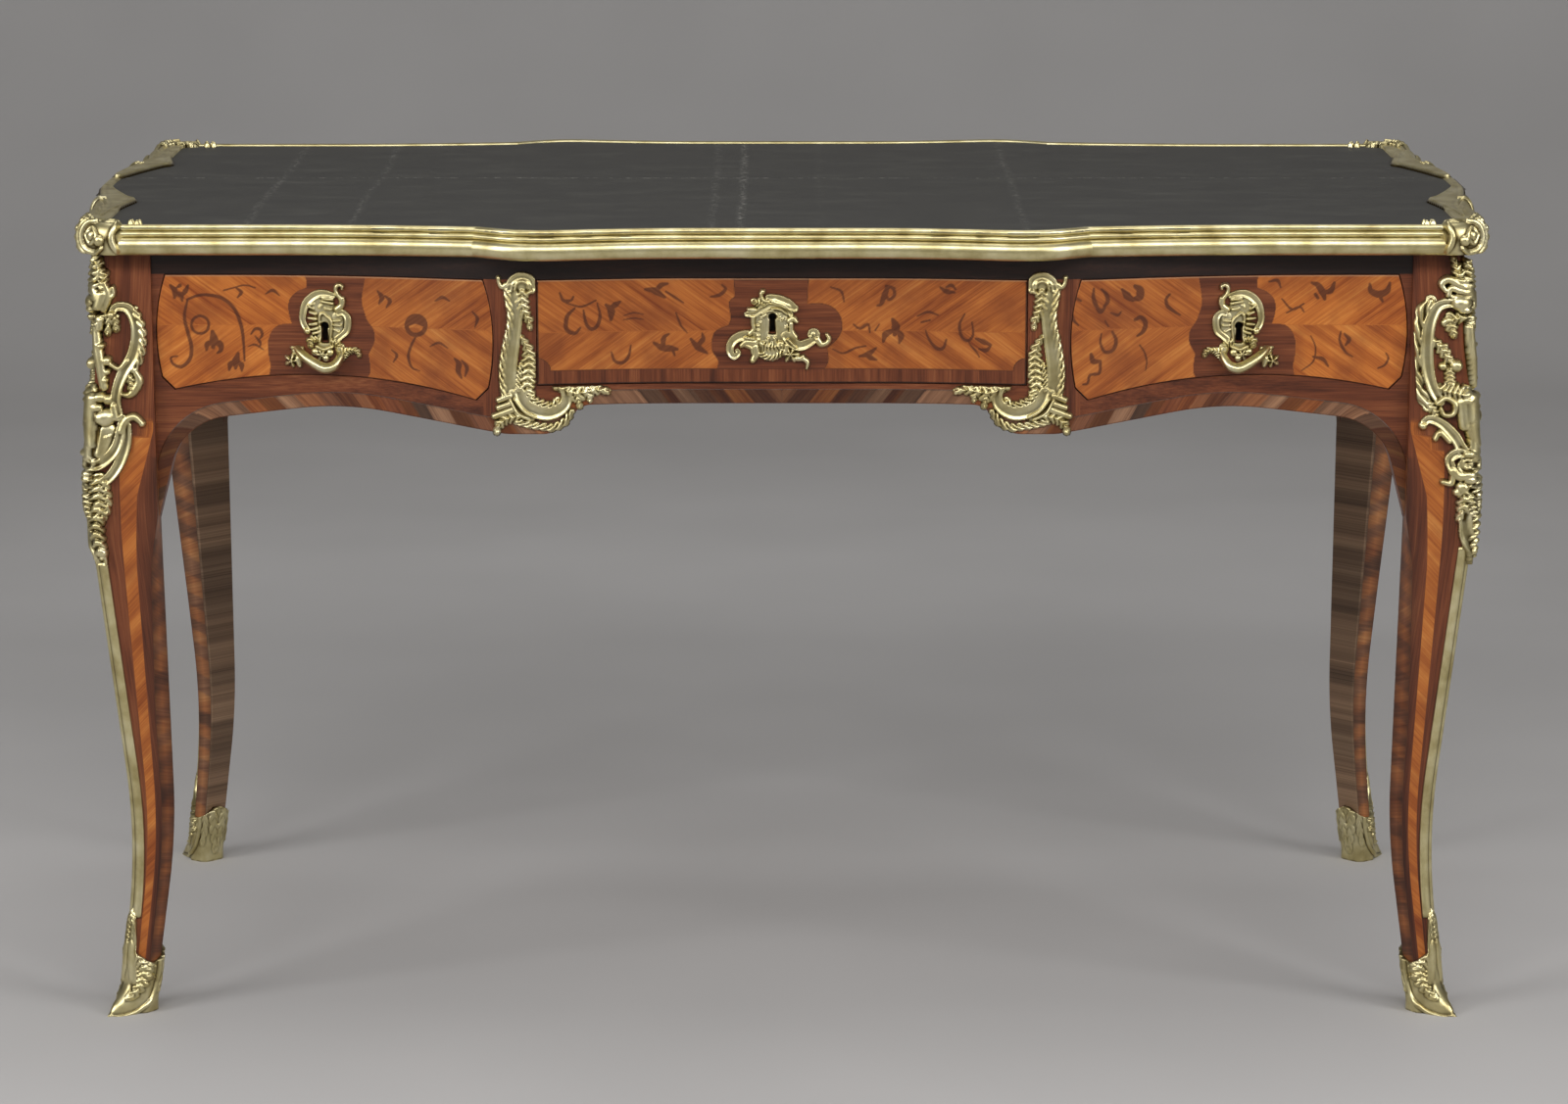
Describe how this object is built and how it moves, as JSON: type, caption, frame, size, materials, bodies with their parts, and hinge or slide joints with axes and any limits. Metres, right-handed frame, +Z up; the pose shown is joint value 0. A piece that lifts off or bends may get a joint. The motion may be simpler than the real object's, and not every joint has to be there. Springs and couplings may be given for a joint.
{
  "type": "writing table",
  "caption": "Serpentine writing table on cabriole legs, with a leather top, drawers in the frieze, floral veneer and gilt bronze mounts.",
  "frame": {"origin": "on the floor under the middle of the table", "axes": "+X to the right along the length, -Y to the front with the drawers, +Z up"},
  "size_m": [1.3778, 0.7498, 0.7865],
  "materials": {
    "veneer": "satin",
    "oak": "matte",
    "leather": "satin",
    "gilt_bronze": "polished",
    "iron": "matte"
  },
  "bodies": {
    "carcase": {"arris_fillets": "gilt_bronze", "back_apron": "veneer", "back_centre_edge": "gilt_bronze", "back_left_chute": "gilt_bronze", "back_left_corner_mount": "gilt_bronze", "back_left_edge": "gilt_bronze", "back_left_leg": "veneer", "back_left_sabot": "gilt_bronze", "back_right_chute": "gilt_bronze", "back_right_corner_mount": "gilt_bronze", "back_right_edge": "gilt_bronze", "back_right_leg": "veneer", "back_right_sabot": "gilt_bronze", "drawer_kickers": "oak", "drawer_partitions": "oak", "drawer_runners": "oak", "end_edges": "gilt_bronze", "front_centre_apron": "veneer", "front_centre_edge": "gilt_bronze", "front_left_apron": "veneer", "front_left_chute": "gilt_bronze", "front_left_corner_mount": "gilt_bronze", "front_left_edge": "gilt_bronze", "front_left_leg": "veneer", "front_left_sabot": "gilt_bronze", "front_right_apron": "veneer", "front_right_chute": "gilt_bronze", "front_right_corner_mount": "gilt_bronze", "front_right_edge": "gilt_bronze", "front_right_leg": "veneer", "front_right_sabot": "gilt_bronze", "front_top_rail": "veneer", "leather": "leather", "left_angle_mount": "gilt_bronze", "left_end_apron": "veneer", "left_stile": "veneer", "right_angle_mount": "gilt_bronze", "right_end_apron": "veneer", "right_stile": "veneer", "top_panel": "oak"},
    "left_drawer": {"left_drawer_front": "veneer", "left_drawer_lining": "oak", "left_drawer_bottom": "oak", "left_escutcheon": "gilt_bronze", "left_lock_case": "iron", "left_pull": "gilt_bronze"},
    "left_bolt": {"left_lock_bolt": "iron"},
    "centre_drawer": {"centre_drawer_front": "veneer", "centre_drawer_lining": "oak", "centre_drawer_bottom": "oak", "centre_escutcheon": "gilt_bronze", "centre_lock_case": "iron"},
    "centre_bolt": {"centre_lock_bolt": "iron"},
    "right_drawer": {"right_drawer_front": "veneer", "right_drawer_lining": "oak", "right_drawer_bottom": "oak", "right_escutcheon": "gilt_bronze", "right_lock_case": "iron", "right_pull": "gilt_bronze"},
    "right_bolt": {"right_lock_bolt": "iron"}
  },
  "joints": [
    {"name": "left_drawer_slide", "type": "slide", "parent": "carcase", "child": "left_drawer", "axis": [0, -1, 0], "range_m": [0, 0.38]},
    {"name": "left_bolt_throw", "type": "slide", "parent": "left_drawer", "child": "left_bolt", "axis": [0, 0, 1], "range_m": [0, 0.009]},
    {"name": "centre_drawer_slide", "type": "slide", "parent": "carcase", "child": "centre_drawer", "axis": [0, -1, 0], "range_m": [0, 0.38]},
    {"name": "centre_bolt_throw", "type": "slide", "parent": "centre_drawer", "child": "centre_bolt", "axis": [0, 0, 1], "range_m": [0, 0.009]},
    {"name": "right_drawer_slide", "type": "slide", "parent": "carcase", "child": "right_drawer", "axis": [0, -1, 0], "range_m": [0, 0.38]},
    {"name": "right_bolt_throw", "type": "slide", "parent": "right_drawer", "child": "right_bolt", "axis": [0, 0, 1], "range_m": [0, 0.009]}
  ]
}
